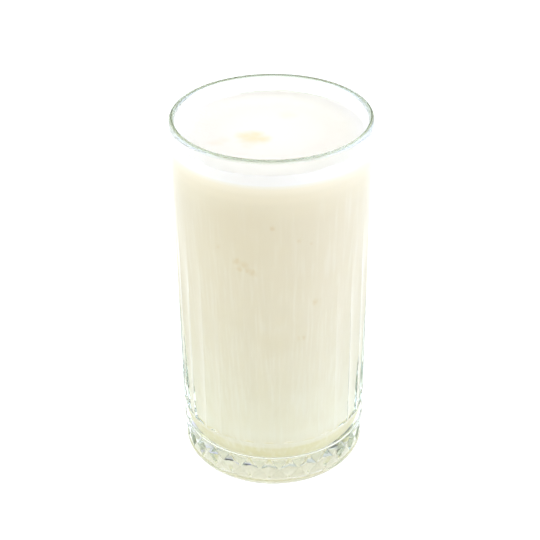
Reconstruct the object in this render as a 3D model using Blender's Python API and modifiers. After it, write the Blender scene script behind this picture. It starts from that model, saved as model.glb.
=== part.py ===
"""A tall tumbler of pale milky tea: a clear fluted glass with a band of sunk diamonds above its foot,
the drink in it and the foam on top.

The glass stands on the ring of its foot at z = 0, with its axis on +Z.
Sizes are in millimetres, and meshes are made in metres.
"""

import math

import bmesh
import bpy

MM = 0.001

# Whole glass
HEIGHT = 146.0
FLUTES = 29
COLUMNS_PER_FLUTE = 4
COLUMNS = FLUTES * COLUMNS_PER_FLUTE
CONTENTS_COLUMNS = COLUMNS // 2
PITCH = 2 * math.pi / FLUTES
FRONT = -math.pi / 2
FLUTE_PHASE = -PITCH / COLUMNS_PER_FLUTE

# Outer wall: radius against height as a share of the whole
WALL_RADIUS = 36.28
WALL_TAPER = 0.6
WALL_FLARE = 1.05

# Rim
RIM_DEPTH = 1.9
RIM_HALF_WIDTH = 1.2
RIM_STEPS = 6

# Flutes: shallow hollows that run up from their square ends and fade out below the rim
FLUTE_DEPTH = 0.85
FLUTE_END_Z = 21.6
FLUTE_LIP = 1.2
FLUTE_FULL_Z = 66.0
FLUTE_FADED_Z = 117.0
WALL_ROWS_Z = (28.0, 40.0, 53.0, FLUTE_FULL_Z, 79.0, 92.0, 105.0, FLUTE_FADED_Z, 131.0)

# Plain band between the flutes and the diamonds
BAND_RADIUS = 35.8
BAND_LOW_Z = 15.6
LEDGE_RADIUS = 36.3

# Diamonds: four-sided hollows, corner to corner all the way round
DIAMOND_TOP_Z = 15.1
DIAMOND_MIDDLE_Z = 9.8
DIAMOND_BOTTOM_Z = 5.0
DIAMOND_DEPTH = 1.6
DIAMOND_LOW_RADIUS = 35.5

# Foot
FOOT_TOP_Z = 4.4
FOOT_RADIUS = 35.75
FOOT_EDGE_RADIUS = 31.0
FOOT_STEPS = 4
RING_OUTER_RADIUS = 30.4
RING_INNER_RADIUS = 26.6
PUNT_DEPTH = 1.2
PUNT_STEPS = 3

# Inside of the glass: a wall that narrows downwards, and a nearly flat floor with round corners
INNER_RIM_RADIUS = 35.53
SIDE_BEND = 1.6
SIDE_ROWS_Z = (40.0, 60.0, 82.0, 106.0, 128.0)
BOWL_TOP_Z = 24.0
BOWL_RADIUS = 25.0
BOWL_FLOOR_Z = 5.0
BOWL_POWER = 4.6
BOWL_RISE_POWER = 2.5
BOWL_STEPS = 9

# Contents
GAP = 0.3
DRINK_LEVEL = 135.2
FOAM_LOW_Z = 135.5
FOAM_TOP_Z = 139.3
FOAM_EDGE = 0.6

OUTER_SKIN = 1.5
SHARP_ANGLE = math.radians(18)
MERGE = 1e-5

GLASS_COLOUR = (0.90, 0.95, 0.90, 1.0)
DRINK_COLOUR = (0.84, 0.77, 0.60, 1.0)
FOAM_COLOUR = (0.97, 0.95, 0.88, 1.0)
GLASS_IOR = 1.5


def wall_radius(z):
    share = z / HEIGHT
    return WALL_RADIUS + WALL_TAPER * share + WALL_FLARE * share * share


def inner_radius(z):
    share = (z - BOWL_TOP_Z) / (HEIGHT - RIM_DEPTH - BOWL_TOP_Z)
    return BOWL_RADIUS + (INNER_RIM_RADIUS - BOWL_RADIUS) * (1 - (1 - share) ** SIDE_BEND)


def side_outline(gap):
    """The narrowing inner wall, drawn in by a gap, above the rounded bottom."""
    return [(inner_radius(z) - gap, z) for z in reversed(SIDE_ROWS_Z)]


def arc(steps):
    """The cosine and sine of evenly spaced angles from 0 to a quarter turn."""
    angles = [math.pi / 2 * step / steps for step in range(steps + 1)]
    return [(math.cos(angle), math.sin(angle)) for angle in angles]


def bowl_outline(gap):
    """The rounded bottom of the inside, drawn in by a gap, from the wall down to the centre."""
    radius = BOWL_RADIUS - gap
    depth = BOWL_TOP_Z - BOWL_FLOOR_Z - gap
    across, down = 2 / BOWL_POWER, 2 / BOWL_RISE_POWER
    points = [(radius * c ** across, BOWL_TOP_Z - depth * s ** down) for c, s in arc(BOWL_STEPS)]
    return points[:-1] + [(0.0, points[-1][1])]


def rim_outline():
    """The half-round rim, from the inner wall over the top to the outer wall."""
    middle = wall_radius(HEIGHT) - RIM_HALF_WIDTH
    low = HEIGHT - RIM_DEPTH
    angles = [math.pi * step / RIM_STEPS for step in range(RIM_STEPS + 1)]
    return [(middle - RIM_HALF_WIDTH * math.cos(a), low + RIM_DEPTH * math.sin(a)) for a in angles]


def diamond_rows_z():
    """Five heights: the corners of the diamonds, and half-way between them."""
    upper = (DIAMOND_TOP_Z + DIAMOND_MIDDLE_Z) / 2
    lower = (DIAMOND_MIDDLE_Z + DIAMOND_BOTTOM_Z) / 2
    return (DIAMOND_TOP_Z, upper, DIAMOND_MIDDLE_Z, lower, DIAMOND_BOTTOM_Z)


def diamond_radius(z):
    share = (z - DIAMOND_BOTTOM_Z) / (DIAMOND_TOP_Z - DIAMOND_BOTTOM_Z)
    return DIAMOND_LOW_RADIUS + (LEDGE_RADIUS - DIAMOND_LOW_RADIUS) * share


def outer_outline():
    """The outside, from below the rim down to the diamonds' lowest corners."""
    wall = [(wall_radius(z), z) for z in reversed(WALL_ROWS_Z)]
    lip = [(wall_radius(FLUTE_END_Z + FLUTE_LIP), FLUTE_END_Z + FLUTE_LIP), (BAND_RADIUS, FLUTE_END_Z)]
    diamonds = [(diamond_radius(z), z) for z in diamond_rows_z()]
    return wall + lip + [(BAND_RADIUS, BAND_LOW_Z)] + diamonds


def foot_outline():
    """The rounded foot, the flat ring that it stands on and the hollow under it."""
    width = FOOT_RADIUS - FOOT_EDGE_RADIUS
    side = [(FOOT_EDGE_RADIUS + width * c, FOOT_TOP_Z * (1 - s)) for c, s in arc(FOOT_STEPS)]
    ring = [(RING_OUTER_RADIUS, 0.0), (RING_INNER_RADIUS, 0.0)]
    punt = [(RING_INNER_RADIUS * c, PUNT_DEPTH * s) for c, s in arc(PUNT_STEPS)]
    return side[:-1] + ring + punt[1:-1] + [(0.0, PUNT_DEPTH)]


def glass_outline():
    """The whole section of the glass, from the middle of the inside round to the middle of the underside."""
    inside = list(reversed(side_outline(0.0) + bowl_outline(0.0)))
    return inside + rim_outline() + outer_outline() + foot_outline()


def drink_outline():
    top = [(0.0, DRINK_LEVEL), (inner_radius(DRINK_LEVEL) - GAP, DRINK_LEVEL)]
    return top + side_outline(GAP) + bowl_outline(GAP)


def foam_outline():
    radius = inner_radius(FOAM_TOP_Z) - GAP
    low_radius = inner_radius(FOAM_LOW_Z) - GAP
    edge = [(radius, FOAM_TOP_Z - FOAM_EDGE), (low_radius, FOAM_LOW_Z)]
    return [(0.0, FOAM_TOP_Z), (radius - FOAM_EDGE, FOAM_TOP_Z)] + edge + [(0.0, FOAM_LOW_Z)]


def turned(name, outline, columns, collection):
    """A solid turned about +Z from its section."""
    mesh = bpy.data.meshes.new(name)
    points = [(radius * MM, 0.0, z * MM) for radius, z in outline]
    edges = [(index, index + 1) for index in range(len(points) - 1)]
    mesh.from_pydata(points, edges, [])
    solid = bpy.data.objects.new(name, mesh)
    collection.objects.link(solid)
    screw = solid.modifiers.new("turn", "SCREW")
    screw.axis = "Z"
    screw.steps = columns
    screw.render_steps = columns
    screw.use_merge_vertices = True
    screw.merge_threshold = MERGE
    screw.use_smooth_shade = True
    return solid


def keep_shape(solid):
    """Makes the mesh that the modifiers give into the object's own."""
    graph = bpy.context.evaluated_depsgraph_get()
    made = bpy.data.meshes.new_from_object(solid.evaluated_get(graph))
    drawn = solid.data
    solid.modifiers.clear()
    solid.data = made
    bpy.data.meshes.remove(drawn)
    made.name = solid.name


def across_flute(x, y):
    """How far a point lies across its flute: -1 at one edge, 0 at its middle and 1 at the other edge."""
    turns = (math.atan2(y, x) - FRONT - FLUTE_PHASE) / PITCH
    return 2 * (turns - round(turns))


def diamond_share(z):
    """Height within the diamond, from -1 at its lowest corner through 0 at its middle to 1 at its top."""
    reach = DIAMOND_TOP_Z if z > DIAMOND_MIDDLE_Z else 2 * DIAMOND_MIDDLE_Z - DIAMOND_BOTTOM_Z
    return (z - DIAMOND_MIDDLE_Z) / (reach - DIAMOND_MIDDLE_Z)


def in_diamonds(z):
    return DIAMOND_BOTTOM_Z - MERGE <= z <= DIAMOND_TOP_Z + MERGE


def cut_depth(across, z):
    """How deep the flutes and the diamonds are sunk into the wall."""
    if in_diamonds(z):
        return DIAMOND_DEPTH * max(0.0, 1 - abs(across) - abs(diamond_share(z)))
    if z < FLUTE_END_Z + FLUTE_LIP / 2:
        return 0.0
    fade = min(1.0, max(0.0, (FLUTE_FADED_Z - z) / (FLUTE_FADED_Z - FLUTE_FULL_Z)))
    return FLUTE_DEPTH * fade * (1 - across * across)


def cut_relief(cage):
    """Sinks the flutes and the diamonds into the outer wall."""
    for vert in cage.verts:
        x, y, z = vert.co / MM
        radius = math.hypot(x, y)
        if z < DIAMOND_BOTTOM_Z - MERGE or radius < wall_radius(z) - OUTER_SKIN:
            continue
        share = 1 - cut_depth(across_flute(x, y), z) / radius
        vert.co.x *= share
        vert.co.y *= share


def split_diamond_faces(cage):
    """Splits each face in the band along the diamonds' own edges."""
    places = {}
    for vert in cage.verts:
        x, y, z = vert.co / MM
        if in_diamonds(z) and math.hypot(x, y) > wall_radius(z) - OUTER_SKIN:
            places[vert] = abs(across_flute(x, y)) - abs(diamond_share(z))
    for face in list(cage.faces):
        if all(vert in places for vert in face.verts):
            order = sorted(face.verts, key=places.get)
            bmesh.utils.face_split(face, order[0], order[-1])


def material(name, colour, roughness, transmission=0.0):
    made = bpy.data.materials.new(name)
    made.use_nodes = True
    shader = made.node_tree.nodes["Principled BSDF"]
    shader.inputs["Base Color"].default_value = colour
    shader.inputs["Roughness"].default_value = roughness
    shader.inputs["Metallic"].default_value = 0.0
    shader.inputs["Transmission Weight"].default_value = transmission
    shader.inputs["IOR"].default_value = GLASS_IOR
    made.diffuse_color = colour
    return made


def make_glass(collection):
    glass = turned("glass", glass_outline(), COLUMNS, collection)
    keep_shape(glass)
    cage = bmesh.new()
    cage.from_mesh(glass.data)
    split_diamond_faces(cage)
    cut_relief(cage)
    cage.to_mesh(glass.data)
    cage.free()
    glass.data.shade_smooth()
    glass.data.set_sharp_from_angle(angle=SHARP_ANGLE)
    glass.data.materials.append(material("clear_glass", GLASS_COLOUR, 0.0, 1.0))


def make_contents(name, outline, collection, finish):
    solid = turned(name, outline, CONTENTS_COLUMNS, collection)
    solid.data.materials.append(finish)


def main():
    for old in list(bpy.data.objects):
        bpy.data.objects.remove(old, do_unlink=True)
    collection = bpy.data.collections.new("iced_tea_glass")
    bpy.context.scene.collection.children.link(collection)
    make_glass(collection)
    make_contents("drink", drink_outline(), collection, material("milky_tea", DRINK_COLOUR, 0.25))
    make_contents("foam", foam_outline(), collection, material("milk_foam", FOAM_COLOUR, 0.6))


main()
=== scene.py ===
"""The looks of a tall fluted tumbler of pale milky tea under a thin head of foam.

Sizes are in millimetres and are turned into metres where a mesh or a material is made. Heights are above
the table, and the axis is +Z.
"""

import math

import bpy
import numpy as np
from mathutils import Matrix, Vector


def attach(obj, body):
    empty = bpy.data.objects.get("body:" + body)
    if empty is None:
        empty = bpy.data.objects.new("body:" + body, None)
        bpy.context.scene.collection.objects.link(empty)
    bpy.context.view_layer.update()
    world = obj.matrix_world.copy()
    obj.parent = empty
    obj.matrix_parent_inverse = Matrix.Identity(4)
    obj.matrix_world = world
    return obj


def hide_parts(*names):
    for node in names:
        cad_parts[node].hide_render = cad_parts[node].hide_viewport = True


MM = 0.001

# Whole glass, as in the solid
HEIGHT = 146.0
FLUTES = 29
PITCH = 2 * math.pi / FLUTES
FRONT = -math.pi / 2
FLUTE_PHASE = -PITCH / 4

# Points round the glass: FINE on the diamonds, COARSE on the rest
FINE = FLUTES * 32
COARSE = FLUTES * 16

# Outer wall: radius against height as a share of the whole
WALL_RADIUS = 36.28
WALL_TAPER = 0.6
WALL_FLARE = 1.05
WALL_ROWS = 26

# Rim
RIM_DEPTH = 1.9
RIM_HALF_WIDTH = 1.2
RIM_STEPS = 14

# Flutes: full depth up to FLUTE_FULL_Z, gone at FLUTE_FADED_Z, and a small lip at their lower end
FLUTE_DEPTH = 0.85
FLUTE_END_Z = 21.6
FLUTE_FULL_Z = 62.0
FLUTE_FADED_Z = 120.0
FLUTE_LIP = 1.0

# Up from the lip's foot, in heights of the lip: where the flutes are full, where its rows start, its rows
FLUTE_LIP_FULL = 2.0
FLUTE_LIP_TOP = 3.0
FLUTE_LIP_STEPS = (2.2, 1.6, 1.2, 0.9, 0.7, 0.5, 0.35, 0.2, 0.1, 0.0)

# Plain band
BAND_RADIUS = 35.8
BAND_LOW_Z = 15.5
BAND_ROWS = 6
LEDGE_RADIUS = 36.3
EDGE_ROUND = 0.22
EDGE_STEPS = 5

# Diamonds; their edges are rounded over DIAMOND_BEVEL, a share of the depth
DIAMOND_TOP_Z = 15.1
DIAMOND_MIDDLE_Z = 9.8
DIAMOND_BOTTOM_Z = 5.0
DIAMOND_DEPTH = 1.6
DIAMOND_LOW_RADIUS = 35.5
DIAMOND_STEPS = 16
DIAMOND_BEVEL = 0.09
BEVEL_FADE = 0.2

# Foot
FOOT_TOP_Z = 4.4
FOOT_RADIUS = 35.75
FOOT_EDGE_RADIUS = 31.0
FOOT_STEPS = 12
RING_OUTER_RADIUS = 30.4
RING_INNER_RADIUS = 26.6
PUNT_DEPTH = 1.2
PUNT_STEPS = 12

# Inside of the glass
INNER_RIM_RADIUS = 35.53
INNER_ROWS = 40
SIDE_BEND = 1.6
BOWL_TOP_Z = 24.0
BOWL_RADIUS = 25.0
BOWL_FLOOR_Z = 5.0
BOWL_POWER = 4.6
BOWL_RISE_POWER = 2.5
BOWL_STEPS = 40

# Contents; the drink and the foam reach a little into the wall, so that no gap shows
INTO_WALL = 0.05
DRINK_LEVEL = 135.4
FOAM_TOP_Z = 139.3
CONTENTS_COLUMNS = 360
DRINK_ROWS = 60
FOAM_ROWS = 6
FOAM_RINGS = 90

# Edges that turn by more degrees than this look sharp
GLASS_SHARP = 25
CONTENTS_SHARP = 40

# Noise: detail of the patterns, and of the noise that makes outlines ragged
PATTERN_DETAIL = 4.0
SHAKE_DETAIL = 3.0

# Looks of the drink, by height from its foot up to the foam. Besides its own cream colour it holds painted
# light and shade: paler at the foot, lit from the table below, a painted dark band low in the bowl, and
# painted light rising towards the foam
DRINK_ROUGHNESS = 0.9
DRINK_COLOURS_AND_PAINTED_LIGHT = (
    (0.0, (0.975, 0.905, 0.730)),
    (7.8, (0.975, 0.905, 0.730)),
    (9.0, (0.715, 0.650, 0.385)),
    (14.3, (0.715, 0.650, 0.385)),
    (15.3, (0.785, 0.730, 0.550)),
    (21.5, (0.815, 0.770, 0.600)),
    (25.5, (0.810, 0.755, 0.575)),
    (60.0, (0.785, 0.720, 0.545)),
    (119.0, (0.780, 0.715, 0.535)),
    (126.0, (0.810, 0.745, 0.555)),
    (130.5, (0.865, 0.795, 0.600)),
    (133.5, (0.925, 0.860, 0.675)),
    (135.4, (0.960, 0.930, 0.820)),
)

# Patches and upright streaks of the drink: scale of the noise, its range, the largest factor that it gives
PATCHES = (90.0, 0.35, 0.75, 0.5)
STREAKS = (700.0, 0.45, 0.75, 0.45)
STREAK_STRETCH = (1.0, 1.0, 0.02)
STREAK_COLOUR = (0.85, 0.81, 0.665, 1.0)
PATCHY_BELOW_Z = 118.0
EVEN_ABOVE_Z = 133.5

# How far noise moves an outline: the noise's scale, the way
SPECK_SHAKE = (1100.0, 2.6)
CLOUD_SHAKE = (160.0, 12.0)
STAIN_SHAKE = (260.0, 3.0)

# Specks and clouds of the drink: angle in degrees from the front towards +X, height, reach
SPECK_COLOUR = (0.70, 0.58, 0.34, 1.0)
SPECK_SHARE = 0.6
SPECKS = (
    (0.0, 118.2, 1.6), (-21.8, 103.0, 2.2), (-20.5, 99.8, 1.6), (-17.0, 101.8, 2.4), (-15.0, 99.5, 1.6),
    (-12.0, 99.0, 2.2), (28.0, 83.8, 2.1), (19.5, 68.5, 1.5), (-33.7, 107.4, 1.2), (15.2, 112.3, 1.2),
    (23.4, 110.2, 1.1),
)
CLOUD_COLOUR = (0.77, 0.70, 0.51, 1.0)
CLOUD_SHARE = 0.8
CLOUDS = (
    (-1.0, 66.5, 9.0), (6.0, 66.0, 8.0), (-24.0, 113.0, 14.0), (-10.0, 108.0, 12.0), (-26.0, 122.0, 14.0),
    (-14.0, 120.0, 12.0),
)

# Looks of the foam
FOAM_ROUGHNESS = 0.8
FOAM_SPECULAR = 0.15
# The foam turns paler from its middle out to the wall: a painted highlight that makes up for the shade the
# wall throws on its edge
FOAM_MIDDLE = (0.922, 0.890, 0.828, 1.0)
FOAM_MIDDLE_REACH = 20.0
FOAM_EDGE_LIGHT_START = 30.0
FOAM_EDGE_PAINTED_LIGHT = (0.985, 0.968, 0.915, 1.0)
GRAIN_SCALE = 900.0
GRAIN_STRENGTH = 0.25
GRAIN_DEPTH = 0.3

# Stains on the foam: X, Y, reach
STAIN_SHARE = 0.75
STAIN_COLOUR = (0.91, 0.76, 0.49, 1.0)
STAINS = ((-6.8, -6.0, 7.2), (-9.4, -3.8, 5.4), (-3.8, -6.4, 5.2), (-6.0, -3.0, 4.8))
FAINT_STAIN_SHARE = 0.8
FAINT_STAIN_COLOUR = (0.92, 0.855, 0.75, 1.0)
FAINT_STAINS = (
    (-7.0, -6.5, 8.5), (-9.0, -12.5, 4.0), (5.9, 13.7, 5.5), (-20.0, -9.4, 4.5), (-17.4, -7.0, 4.0),
)

# The foam's edge, lifted a little all round; points count as on the top down to TOP_MARGIN
FOAM_LIP = 0.35
FOAM_CLING = 0.6
TOP_MARGIN = 0.01

# Smears where the foam's edge is lifted more: angle in degrees, height, width in degrees
SMEARS = (
    (-57.8, 1.8, 1.6), (-51.8, 1.0, 1.4), (-42.0, 1.4, 1.8), (34.0, 0.5, 5.0), (-150.0, 0.4, 7.0),
    (172.0, 0.5, 4.0),
)

# A greenish line of painted shadow along the foam's edge at the back, where the meniscus meets the wall:
# where it starts and is full inside the wall, and in Y
FOAM_SHADE_LINE_COLOUR = (0.84, 0.87, 0.78, 1.0)
FOAM_SHADE_LINE_SHARE = 0.8
FOAM_SHADE_LINE_START = 0.7
FOAM_SHADE_LINE_FULL = 0.3
FOAM_SHADE_LINE_START_Y = 14.0
FOAM_SHADE_LINE_FULL_Y = 28.0

# The floor, just under the foot so that no faces coincide; it glows, so it comes out plain white
FLOOR_DROP = 0.05
FLOOR_HALF = 3000.0
FLOOR_COLOUR = (0.15, 0.15, 0.15, 1.0)
FLOOR_ROUGHNESS = 0.9
FLOOR_GLOW = (0.97, 1.0, 1.0, 1.0)
FLOOR_GLOW_STRENGTH = 1.15

# Looks of the glass: the green that shows where it is thick, and on the rim a deeper green painted into
# its colour, painted shade for the long way light runs through the rim
GLASS_IOR = 1.5
GLASS_TINT = (0.45, 0.80, 0.55, 1.0)
GLASS_DENSITY = 4.5
WHITE = (1.0, 1.0, 1.0, 1.0)
RIM_PAINTED_SHADE = (0.44, 0.55, 0.41, 1.0)
RIM_SHADE_LOW_Z = 144.4
RIM_SHADE_HIGH_Z = 145.7

# Cosines of the angle from a soft light's middle: where it is full, and where it has faded out
LIGHT_FULL = 0.98
SIDES_FADE = 0.74
BACK_FADE = 0.84

# Soft lights: the way to each in degrees (round from the back towards +X, and up), its fade, its colour
# Their colours come from a fit of test renders to the photograph, rounded and partly changed
STUDIO_LIGHTS = (
    (0, 8, BACK_FADE, (0.4, 0.4, 0.4)),
    (60, 10, 0.80, (0.65, 0.6, 1.4)),
    (90, 10, SIDES_FADE, (3.6, 4.1, 6.1)),
    (135, 8, SIDES_FADE, (1.75, 1.8, 2.5)),
    (180, 8, SIDES_FADE, (2.05, 1.93, 1.8)),
    (225, 8, SIDES_FADE, (1.1, 1.05, 1.0)),
    (270, 10, SIDES_FADE, (3.2, 3.7, 5.6)),
    (302, 8, BACK_FADE, (1.2, 1.1, 1.4)),
    (330, 8, BACK_FADE, (0.6, 0.6, 0.65)),
    (90, 36, SIDES_FADE, (1.1, 1.0, 0.25)),
    (270, 36, SIDES_FADE, (1.1, 1.0, 0.25)),
    (30, 40, 0.74, (0.55, 0.52, 0.45)),
    (180, 75, 0.55, (0.08, 0.07, 0.05)),
)

# Camera, fitted to the outline of the glass in a frame of 540 by 540 pixels; it stands in glass heights
FRAME_PIXELS = 540
FOCAL_PIXELS = 1501.8
CAMERA_BACK = 3.425
CAMERA_UP = 2.610
CAMERA_PITCH = math.radians(31.09)
CAMERA_YAW = math.radians(-0.118)
CAMERA_ROLL = math.radians(-0.517)
SENSOR = 36.0


def smooth_step(low, high, value):
    share = np.clip((value - low) / (high - low), 0.0, 1.0)
    return share * share * (3 - 2 * share)


def wall_radius(z):
    share = z / HEIGHT
    return WALL_RADIUS + WALL_TAPER * share + WALL_FLARE * share * share


def inner_radius(z):
    share = (z - BOWL_TOP_Z) / (HEIGHT - RIM_DEPTH - BOWL_TOP_Z)
    return BOWL_RADIUS + (INNER_RIM_RADIUS - BOWL_RADIUS) * (1 - (1 - share) ** SIDE_BEND)


def bowl_outline(grow):
    """The rounded bottom of the inside, grown outwards, from the wall down to the centre."""
    angles = np.linspace(0, math.pi / 2, BOWL_STEPS + 1)
    radius = (BOWL_RADIUS + grow) * np.cos(angles) ** (2 / BOWL_POWER)
    depth = (BOWL_TOP_Z - BOWL_FLOOR_Z + grow) * np.sin(angles) ** (2 / BOWL_RISE_POWER)
    radius[-1] = 0.0
    return [(r, BOWL_TOP_Z - d) for r, d in zip(radius, depth)]


def rounded_corner(corner, before, after, size):
    """Points of a curve that rounds off the corner between two straight runs of a section."""
    corner, before, after = (Vector(point) for point in (corner, before, after))
    start = corner + (before - corner).normalized() * size
    end = corner + (after - corner).normalized() * size
    shares = np.linspace(0, 1, EDGE_STEPS)
    curve = [start * (1 - t) ** 2 + corner * 2 * t * (1 - t) + end * t * t for t in shares]
    return [tuple(point) for point in curve]


def rim_rows():
    middle = wall_radius(HEIGHT) - RIM_HALF_WIDTH
    low = HEIGHT - RIM_DEPTH
    angles = np.linspace(0, math.pi, RIM_STEPS + 1)
    rows = [(middle - RIM_HALF_WIDTH * math.cos(a), low + RIM_DEPTH * math.sin(a)) for a in angles]
    return [(radius, z, "plain") for radius, z in rows]


def wall_rows():
    heights = np.linspace(HEIGHT - RIM_DEPTH, FLUTE_END_Z + FLUTE_LIP_TOP * FLUTE_LIP, WALL_ROWS + 1)[1:]
    lip = FLUTE_END_Z + FLUTE_LIP * np.array(FLUTE_LIP_STEPS)
    rows = [(wall_radius(z), z, "flute") for z in heights]
    for z in lip:
        share = float(smooth_step(FLUTE_END_Z, FLUTE_END_Z + FLUTE_LIP, z))
        rows.append((BAND_RADIUS + (wall_radius(z) - BAND_RADIUS) * share, z, "flute"))
    return rows


def band_rows():
    """The plain band, and the small step out to the diamonds."""
    heights = np.linspace(FLUTE_END_Z, BAND_LOW_Z + 2 * EDGE_ROUND, BAND_ROWS + 1)[1:]
    rows = [(BAND_RADIUS, z) for z in heights]
    inner = (BAND_RADIUS, BAND_LOW_Z)
    outer = (LEDGE_RADIUS, DIAMOND_TOP_Z + EDGE_ROUND)
    rows += rounded_corner(inner, (BAND_RADIUS, FLUTE_END_Z), outer, EDGE_ROUND)
    rows += rounded_corner(outer, inner, (LEDGE_RADIUS, DIAMOND_BOTTOM_Z), EDGE_ROUND)[:-1]
    return [(radius, z, "plain") for radius, z in rows]


def diamond_rows():
    rows = []
    upper = np.linspace(DIAMOND_TOP_Z, DIAMOND_MIDDLE_Z, DIAMOND_STEPS + 1)
    lower = np.linspace(DIAMOND_MIDDLE_Z, DIAMOND_BOTTOM_Z, DIAMOND_STEPS + 1)[1:]
    for z in np.concatenate([upper, lower]):
        share = (z - DIAMOND_BOTTOM_Z) / (DIAMOND_TOP_Z - DIAMOND_BOTTOM_Z)
        rows.append((DIAMOND_LOW_RADIUS + (LEDGE_RADIUS - DIAMOND_LOW_RADIUS) * share, z, "diamond"))
    return rows


def foot_rows():
    angles = np.linspace(0, math.pi / 2, FOOT_STEPS + 1)
    width = FOOT_RADIUS - FOOT_EDGE_RADIUS
    rows = [(FOOT_EDGE_RADIUS + width * math.cos(a), FOOT_TOP_Z * (1 - math.sin(a))) for a in angles]
    rows += [(RING_OUTER_RADIUS, 0.0), (RING_INNER_RADIUS, 0.0)]
    turns = np.linspace(0, math.pi / 2, PUNT_STEPS + 1)[1:]
    rows += [(RING_INNER_RADIUS * math.cos(a), PUNT_DEPTH * math.sin(a)) for a in turns]
    rows[-1] = (0.0, PUNT_DEPTH)
    return [(radius, z, "plain") for radius, z in rows]


def glass_rows():
    """The section from the middle of the inside over the rim, down the outside and back to the middle."""
    bowl = [(radius, z, "plain") for radius, z in reversed(bowl_outline(0.0))]
    heights = np.linspace(BOWL_TOP_Z, HEIGHT - RIM_DEPTH, INNER_ROWS + 1)[1:-1]
    inside = [(inner_radius(z), z, "plain") for z in heights]
    return bowl + inside + rim_rows() + wall_rows() + band_rows() + diamond_rows() + foot_rows()


def cut_depth(kind, across, z):
    """How deep the flutes and diamonds are sunk, across one pitch from -1 to 1."""
    if kind == "flute":
        fade = 1 - smooth_step(FLUTE_FULL_Z, FLUTE_FADED_Z, z)
        lip = smooth_step(FLUTE_END_Z, FLUTE_END_Z + FLUTE_LIP_FULL * FLUTE_LIP, z)
        return FLUTE_DEPTH * fade * lip * (1 - across * across)
    if kind == "diamond":
        tip = DIAMOND_TOP_Z if z > DIAMOND_MIDDLE_Z else DIAMOND_BOTTOM_Z
        share = 1 - np.abs(across) - abs(z - DIAMOND_MIDDLE_Z) / abs(tip - DIAMOND_MIDDLE_Z)
        rounded = 0.5 * (share + np.sqrt(share * share + DIAMOND_BEVEL * DIAMOND_BEVEL))
        return DIAMOND_DEPTH * (rounded - 0.5 * DIAMOND_BEVEL * np.exp(-np.abs(share) / BEVEL_FADE))
    return np.zeros_like(across)


def ring_points(radius, z, kind, columns):
    turns = np.arange(columns) / columns
    angles = FRONT + FLUTE_PHASE + 2 * math.pi * turns
    across = turns * FLUTES
    across = 2 * (across - np.round(across))
    reach = radius - cut_depth(kind, across, z)
    return np.stack([reach * np.cos(angles), reach * np.sin(angles), np.full(columns, float(z))], axis=-1)


def quads_between(first, second, columns):
    """Faces between two rings with the same number of points."""
    here = np.arange(columns)
    after = (here + 1) % columns
    return np.stack([first + here, second + here, second + after, first + after], axis=-1)


def fan_between(coarse, fine, columns, flip):
    """Triangles from a ring to one with twice its points."""
    here = np.arange(columns)
    after = (here + 1) % columns
    low, middle, high = fine + 2 * here, fine + 2 * here + 1, fine + 2 * after
    a, b = coarse + here, coarse + after
    corners = ((a, low, middle), (a, middle, b), (b, middle, high))
    faces = np.concatenate([np.stack(corner, axis=-1) for corner in corners])
    return faces[:, ::-1] if flip else faces


def split_quads(faces, points):
    """Splits each quad of the diamonds along the line that keeps to their edges."""
    centre = points[faces].mean(axis=1)
    turns = (np.arctan2(centre[:, 1], centre[:, 0]) - FRONT - FLUTE_PHASE) / PITCH
    to_right = turns - np.round(turns) > 0
    upper = centre[:, 2] > DIAMOND_MIDDLE_Z
    swap = (to_right == upper)[:, None]
    one = np.concatenate([faces[:, [0, 1, 2]], faces[:, [0, 2, 3]]], axis=1)
    other = np.concatenate([faces[:, [0, 1, 3]], faces[:, [1, 2, 3]]], axis=1)
    return np.where(swap, other, one).reshape(-1, 3)


def glass_mesh():
    """Points and faces of the glass; a row of radius 0 is a single point on the axis."""
    rows = glass_rows()
    points, faces, starts, sizes = [], [], [], []
    total = 0
    for radius, z, kind in rows:
        columns = 1 if radius == 0 else FINE if kind == "diamond" else COARSE
        points.append(np.array([[0.0, 0.0, z]]) if columns == 1 else ring_points(radius, z, kind, columns))
        starts.append(total)
        sizes.append(columns)
        total += columns
    points = np.concatenate(points)
    for index in range(len(rows) - 1):
        a, b = starts[index], starts[index + 1]
        size_a, size_b = sizes[index], sizes[index + 1]
        if size_a == 1:
            here = np.arange(size_b)
            faces += np.stack([np.full(size_b, a), b + here, b + (here + 1) % size_b], axis=-1).tolist()
        elif size_b == 1:
            here = np.arange(size_a)
            faces += np.stack([a + here, np.full(size_a, b), a + (here + 1) % size_a], axis=-1).tolist()
        elif size_a == size_b == FINE:
            faces += split_quads(quads_between(a, b, FINE), points).tolist()
        elif size_a == size_b:
            faces += quads_between(a, b, size_a).tolist()
        elif size_b == FINE:
            faces += fan_between(a, b, COARSE, False).tolist()
        else:
            faces += fan_between(b, a, COARSE, True).tolist()
    return points, faces


def new_piece(name, points, faces, sharp_degrees):
    mesh = bpy.data.meshes.new(name)
    mesh.from_pydata((points * MM).tolist(), [], faces)
    mesh.shade_smooth()
    mesh.set_sharp_from_angle(angle=math.radians(sharp_degrees))
    piece = bpy.data.objects.new(name, mesh)
    bpy.context.scene.collection.objects.link(piece)
    return piece


def turned_mesh(outline, columns):
    """A closed mesh turned from a section that runs from the axis, out and down, and back to the axis."""
    rings = outline[1:-1]
    points = [np.array([[0.0, 0.0, outline[0][1]]])]
    points += [ring_points(radius, z, "plain", columns) for radius, z in rings]
    points += [np.array([[0.0, 0.0, outline[-1][1]]])]
    faces = []
    here = np.arange(columns)
    after = (here + 1) % columns
    faces += np.stack([np.zeros(columns, int), 1 + here, 1 + after], axis=-1).tolist()
    for index in range(len(rings) - 1):
        faces += quads_between(1 + index * columns, 1 + (index + 1) * columns, columns).tolist()
    last = 1 + (len(rings) - 1) * columns
    faces += np.stack([last + here, np.full(columns, last + columns), last + after], axis=-1).tolist()
    return np.concatenate(points), faces


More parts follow.
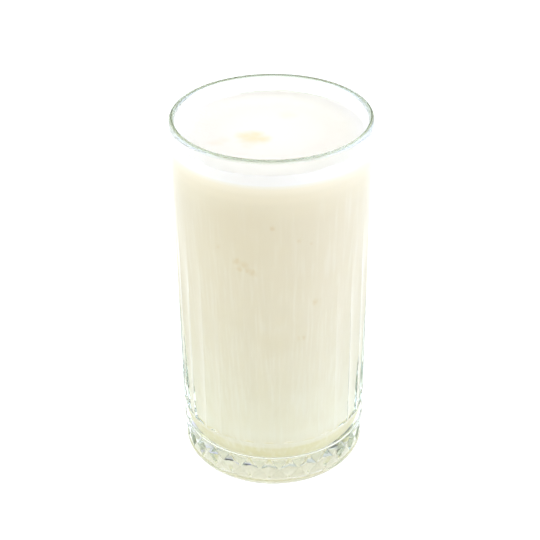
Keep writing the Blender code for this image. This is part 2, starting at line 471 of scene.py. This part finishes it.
def node(tree, kind, **values):
    """A shader node with its inputs and settings set by name."""
    made = tree.nodes.new(kind)
    for name, value in values.items():
        if hasattr(made, name):
            setattr(made, name, value)
        else:
            made.inputs[name].default_value = value
    return made


def new_material(name):
    made = bpy.data.materials.new(name)
    made.use_nodes = True
    return made, made.node_tree, made.node_tree.nodes["Principled BSDF"]


def object_place(tree):
    return node(tree, "ShaderNodeTexCoord").outputs["Object"]


def coordinate(tree, place, axis):
    made = node(tree, "ShaderNodeSeparateXYZ")
    tree.links.new(place, made.inputs[0])
    return made.outputs[axis]


def stretched(tree, place, factors):
    made = node(tree, "ShaderNodeVectorMath", operation="MULTIPLY")
    made.inputs[1].default_value = factors
    tree.links.new(place, made.inputs[0])
    return made.outputs[0]


def length_of(tree, place):
    made = node(tree, "ShaderNodeVectorMath", operation="LENGTH")
    tree.links.new(place, made.inputs[0])
    return made.outputs["Value"]


def product(tree, first, second):
    """A socket times another one or times a fixed value."""
    made = node(tree, "ShaderNodeMath", operation="MULTIPLY")
    tree.links.new(first, made.inputs[0])
    if isinstance(second, float):
        made.inputs[1].default_value = second
    else:
        tree.links.new(second, made.inputs[1])
    return made.outputs[0]


def ranged(tree, value, low, high, to_low=0.0, to_high=1.0):
    """A value's range mapped smoothly on another one."""
    made = node(tree, "ShaderNodeMapRange", interpolation_type="SMOOTHSTEP")
    made.inputs["From Min"].default_value = low
    made.inputs["From Max"].default_value = high
    made.inputs["To Min"].default_value = to_low
    made.inputs["To Max"].default_value = to_high
    tree.links.new(value, made.inputs["Value"])
    return made.outputs[0]


def blend(tree, factor, first, second):
    """A mix of two colours, each a socket or a fixed value."""
    mix = node(tree, "ShaderNodeMix", data_type="RGBA")
    tree.links.new(factor, mix.inputs["Factor"])
    for name, value in (("A", first), ("B", second)):
        socket = next(s for s in mix.inputs if s.name == name and s.type == "RGBA")
        if isinstance(value, tuple):
            socket.default_value = value
        else:
            tree.links.new(value, socket)
    return next(s for s in mix.outputs if s.type == "RGBA")


def noise_factor(tree, place, scale, low, high, to_high):
    noise = node(tree, "ShaderNodeTexNoise", Scale=scale, Detail=PATTERN_DETAIL)
    tree.links.new(place, noise.inputs["Vector"])
    return ranged(tree, noise.outputs["Fac"], low, high, to_high=to_high)


def shaken(tree, place, scale, amount):
    """The place, moved about by noise so that outlines come out ragged."""
    noise = node(tree, "ShaderNodeTexNoise", Scale=scale, Detail=SHAKE_DETAIL)
    tree.links.new(place, noise.inputs["Vector"])
    centred = node(tree, "ShaderNodeVectorMath", operation="SUBTRACT")
    centred.inputs[1].default_value = (0.5, 0.5, 0.5)
    tree.links.new(noise.outputs["Color"], centred.inputs[0])
    moved = node(tree, "ShaderNodeVectorMath", operation="MULTIPLY_ADD")
    moved.inputs[1].default_value = (amount * MM, amount * MM, amount * MM)
    tree.links.new(centred.outputs[0], moved.inputs[0])
    tree.links.new(place, moved.inputs[2])
    return moved.outputs[0]


def spots(tree, place, centres):
    """A factor that is 1 in the middle of a spot and 0 away from all; each is a point and its reach."""
    total = None
    for *centre, reach in centres:
        distance = node(tree, "ShaderNodeVectorMath", operation="DISTANCE")
        distance.inputs[1].default_value = centre
        tree.links.new(place, distance.inputs[0])
        spot = ranged(tree, distance.outputs["Value"], reach, 0.0)
        if total is None:
            total = spot
            continue
        larger = node(tree, "ShaderNodeMath", operation="MAXIMUM")
        tree.links.new(total, larger.inputs[0])
        tree.links.new(spot, larger.inputs[1])
        total = larger.outputs[0]
    return total


def on_side(places):
    """Points in metres on the side of the drink from angles in degrees, heights and reaches."""
    made = []
    for turn, z, reach in places:
        angle, radius = math.radians(turn), inner_radius(z) * MM
        made.append((radius * math.sin(angle), -radius * math.cos(angle), z * MM, reach * MM))
    return made


def glass_material():
    made, tree, shader = new_material("clear_pressed_glass")
    height = coordinate(tree, object_place(tree), "Z")
    # Painted shade: the glass's colour turned a deeper green towards the top of the rim
    rim = ranged(tree, height, RIM_SHADE_LOW_Z * MM, RIM_SHADE_HIGH_Z * MM)
    tree.links.new(blend(tree, rim, WHITE, RIM_PAINTED_SHADE), shader.inputs["Base Color"])
    shader.inputs["Roughness"].default_value = 0.0
    shader.inputs["IOR"].default_value = GLASS_IOR
    shader.inputs["Transmission Weight"].default_value = 1.0
    absorption = node(tree, "ShaderNodeVolumeAbsorption", Color=GLASS_TINT, Density=GLASS_DENSITY)
    tree.links.new(absorption.outputs[0], tree.nodes["Material Output"].inputs["Volume"])
    return made


def drink_painted_light_ramp(tree, height):
    """The drink's colour by height, with its painted light and shade."""
    share = node(tree, "ShaderNodeMapRange")
    share.inputs["From Max"].default_value = DRINK_LEVEL * MM
    tree.links.new(height, share.inputs["Value"])
    ramp = node(tree, "ShaderNodeValToRGB")
    ramp.color_ramp.interpolation = "EASE"
    tree.links.new(share.outputs[0], ramp.inputs["Fac"])
    first, *middle, last = DRINK_COLOURS_AND_PAINTED_LIGHT
    for element, (z, colour) in zip(ramp.color_ramp.elements, (first, last)):
        element.position = z / DRINK_LEVEL
        element.color = (*colour, 1.0)
    for z, colour in middle:
        ramp.color_ramp.elements.new(z / DRINK_LEVEL).color = (*colour, 1.0)
    return ramp.outputs["Color"]


def drink_material():
    made, tree, shader = new_material("milky_tea")
    shader.inputs["Roughness"].default_value = DRINK_ROUGHNESS
    shader.inputs["Specular IOR Level"].default_value = 0.0
    place = object_place(tree)
    height = coordinate(tree, place, "Z")
    # Colour by height, with painted light at the foot and towards the foam and a painted dark band low in
    # the bowl
    even_with_painted_light = drink_painted_light_ramp(tree, height)
    patchy = blend(tree, noise_factor(tree, place, *PATCHES), even_with_painted_light, CLOUD_COLOUR)
    upright = stretched(tree, place, STREAK_STRETCH)
    patchy = blend(tree, noise_factor(tree, upright, *STREAKS), patchy, STREAK_COLOUR)
    clouds = spots(tree, shaken(tree, place, *CLOUD_SHAKE), on_side(CLOUDS))
    patchy = blend(tree, product(tree, clouds, CLOUD_SHARE), patchy, CLOUD_COLOUR)
    low = ranged(tree, height, PATCHY_BELOW_Z * MM, EVEN_ABOVE_Z * MM, 1.0, 0.0)
    colour = blend(tree, low, even_with_painted_light, patchy)
    specks = spots(tree, shaken(tree, place, *SPECK_SHAKE), on_side(SPECKS))
    colour = blend(tree, product(tree, specks, SPECK_SHARE), colour, SPECK_COLOUR)
    tree.links.new(colour, shader.inputs["Base Color"])
    return made


def foam_shade_line(tree, place, flat):
    """A factor for the painted shadow line where the foam meets the wall at the back."""
    wall = inner_radius(FOAM_TOP_Z)
    start, full = (wall - FOAM_SHADE_LINE_START) * MM, (wall - FOAM_SHADE_LINE_FULL) * MM
    along_wall = ranged(tree, length_of(tree, flat), start, full, to_high=FOAM_SHADE_LINE_SHARE)
    back = ranged(tree, coordinate(tree, place, "Y"), FOAM_SHADE_LINE_START_Y * MM, FOAM_SHADE_LINE_FULL_Y * MM)
    return product(tree, along_wall, back)


def foam_material():
    made, tree, shader = new_material("milk_foam")
    shader.inputs["Roughness"].default_value = FOAM_ROUGHNESS
    shader.inputs["Specular IOR Level"].default_value = FOAM_SPECULAR
    place = object_place(tree)
    flat = stretched(tree, place, (1.0, 1.0, 0.0))
    ragged = shaken(tree, flat, *STAIN_SHAKE)
    # Painted highlight: the foam paler towards the wall, against the wall's shade on its edge
    edge_painted_light = ranged(tree, length_of(tree, ragged), FOAM_MIDDLE_REACH * MM, FOAM_EDGE_LIGHT_START * MM)
    colour = blend(tree, edge_painted_light, FOAM_MIDDLE, FOAM_EDGE_PAINTED_LIGHT)
    for places, stain, share in ((FAINT_STAINS, FAINT_STAIN_COLOUR, FAINT_STAIN_SHARE),
                                 (STAINS, STAIN_COLOUR, STAIN_SHARE)):
        centres = [(x * MM, y * MM, 0.0, reach * MM) for x, y, reach in places]
        colour = blend(tree, product(tree, spots(tree, ragged, centres), share), colour, stain)
    # Painted shadow: a greenish line along the foam's edge at the back
    colour = blend(tree, foam_shade_line(tree, place, flat), colour, FOAM_SHADE_LINE_COLOUR)
    tree.links.new(colour, shader.inputs["Base Color"])
    grain = node(tree, "ShaderNodeTexNoise", Scale=GRAIN_SCALE, Detail=PATTERN_DETAIL)
    tree.links.new(place, grain.inputs["Vector"])
    bump = node(tree, "ShaderNodeBump", Strength=GRAIN_STRENGTH, Distance=GRAIN_DEPTH * MM)
    tree.links.new(grain.outputs["Fac"], bump.inputs["Height"])
    tree.links.new(bump.outputs[0], shader.inputs["Normal"])
    return made


def make_glass():
    points, faces = glass_mesh()
    piece = new_piece("tumbler", points, faces, GLASS_SHARP)
    piece.data.materials.append(glass_material())
    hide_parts("glass")
    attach(piece, "root")


def make_drink():
    heights = np.linspace(DRINK_LEVEL, BOWL_TOP_Z, DRINK_ROWS)[:-1]
    side = [(inner_radius(z) + INTO_WALL, z) for z in heights]
    outline = [(0.0, DRINK_LEVEL)] + side + bowl_outline(INTO_WALL)
    piece = new_piece("milky_tea", *turned_mesh(outline, CONTENTS_COLUMNS), CONTENTS_SHARP)
    piece.data.materials.append(drink_material())
    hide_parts("drink")
    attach(piece, "root")


def lift_edge(points):
    """Lifts the foam's edge where it clings to the wall."""
    radius = inner_radius(FOAM_TOP_Z)
    turn = np.degrees(np.arctan2(points[:, 0], -points[:, 1]))
    lift = np.full(len(points), FOAM_LIP)
    for angle, height, width in SMEARS:
        lift += height * np.exp(-((turn - angle) / width) ** 2)
    lift *= smooth_step(radius - FOAM_CLING, radius, np.hypot(points[:, 0], points[:, 1]))
    points[:, 2] += np.where(points[:, 2] > FOAM_TOP_Z - TOP_MARGIN, lift, 0.0)


def make_foam():
    low, high = DRINK_LEVEL, FOAM_TOP_Z
    side = [(inner_radius(z) + INTO_WALL, z) for z in np.linspace(high, low, FOAM_ROWS)]
    top = [(radius, high) for radius in np.linspace(0, inner_radius(high), FOAM_RINGS)[:-1]]
    outline = top + side + [(0.0, low)]
    points, faces = turned_mesh(outline, CONTENTS_COLUMNS)
    lift_edge(points)
    piece = new_piece("foam_head", points, faces, CONTENTS_SHARP)
    piece.data.materials.append(foam_material())
    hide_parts("foam")
    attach(piece, "root")


def make_floor():
    half, low = FLOOR_HALF * MM, -FLOOR_DROP * MM
    mesh = bpy.data.meshes.new("floor")
    corners = [(-half, -half, low), (half, -half, low), (half, half, low), (-half, half, low)]
    mesh.from_pydata(corners, [], [(0, 1, 2, 3)])
    floor = bpy.data.objects.new("floor", mesh)
    bpy.context.scene.collection.objects.link(floor)
    made, _, shader = new_material("white_table")
    shader.inputs["Base Color"].default_value = FLOOR_COLOUR
    shader.inputs["Roughness"].default_value = FLOOR_ROUGHNESS
    shader.inputs["Specular IOR Level"].default_value = 0.0
    shader.inputs["Emission Color"].default_value = FLOOR_GLOW
    shader.inputs["Emission Strength"].default_value = FLOOR_GLOW_STRENGTH
    mesh.materials.append(made)


def make_studio():
    """A dim room with broad soft lights round the table: cool ones at the sides, a warmer one in front."""
    world = bpy.data.worlds.new("studio")
    world.use_nodes = True
    bpy.context.scene.world = world
    tree = world.node_tree
    place = node(tree, "ShaderNodeTexCoord")
    total = None
    for turn, rise, faded, colour in STUDIO_LIGHTS:
        turn, rise = math.radians(turn), math.radians(rise)
        towards = (math.sin(turn) * math.cos(rise), math.cos(turn) * math.cos(rise), math.sin(rise))
        dot = node(tree, "ShaderNodeVectorMath", operation="DOT_PRODUCT")
        dot.inputs[1].default_value = towards
        tree.links.new(place.outputs["Generated"], dot.inputs[0])
        share = ranged(tree, dot.outputs["Value"], faded, LIGHT_FULL)
        added = node(tree, "ShaderNodeVectorMath", operation="MULTIPLY_ADD")
        added.inputs[1].default_value = colour
        tree.links.new(share, added.inputs[0])
        if total is not None:
            tree.links.new(total, added.inputs[2])
        total = added.outputs[0]
    background = tree.nodes["Background"]
    tree.links.new(total, background.inputs["Color"])
    background.inputs["Strength"].default_value = 1.0


def make_camera():
    forward = Vector((math.sin(CAMERA_YAW) * math.cos(CAMERA_PITCH),
                      math.cos(CAMERA_YAW) * math.cos(CAMERA_PITCH), -math.sin(CAMERA_PITCH)))
    level = Vector((math.cos(CAMERA_YAW), -math.sin(CAMERA_YAW), 0.0))
    above = level.cross(forward)
    right = level * math.cos(CAMERA_ROLL) + above * math.sin(CAMERA_ROLL)
    up = above * math.cos(CAMERA_ROLL) - level * math.sin(CAMERA_ROLL)
    lens = bpy.data.cameras.new("camera")
    lens.sensor_width = SENSOR
    lens.lens = FOCAL_PIXELS / FRAME_PIXELS * SENSOR
    camera = bpy.data.objects.new("camera", lens)
    bpy.context.scene.collection.objects.link(camera)
    place = Matrix((right, up, -forward)).transposed().to_4x4()
    place.translation = Vector((0.0, -CAMERA_BACK, CAMERA_UP)) * HEIGHT * MM
    camera.matrix_world = place
    bpy.context.scene.camera = camera


def main():
    make_camera()
    make_floor()
    make_studio()
    make_glass()
    make_drink()
    make_foam()
    bpy.context.scene.view_settings.view_transform = "Standard"


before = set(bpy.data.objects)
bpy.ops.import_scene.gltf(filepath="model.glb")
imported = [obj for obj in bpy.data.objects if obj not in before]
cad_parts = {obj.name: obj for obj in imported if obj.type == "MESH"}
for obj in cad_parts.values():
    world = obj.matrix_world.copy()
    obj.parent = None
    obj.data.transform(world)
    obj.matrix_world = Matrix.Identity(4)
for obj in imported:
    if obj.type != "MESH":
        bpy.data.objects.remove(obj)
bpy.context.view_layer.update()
main()
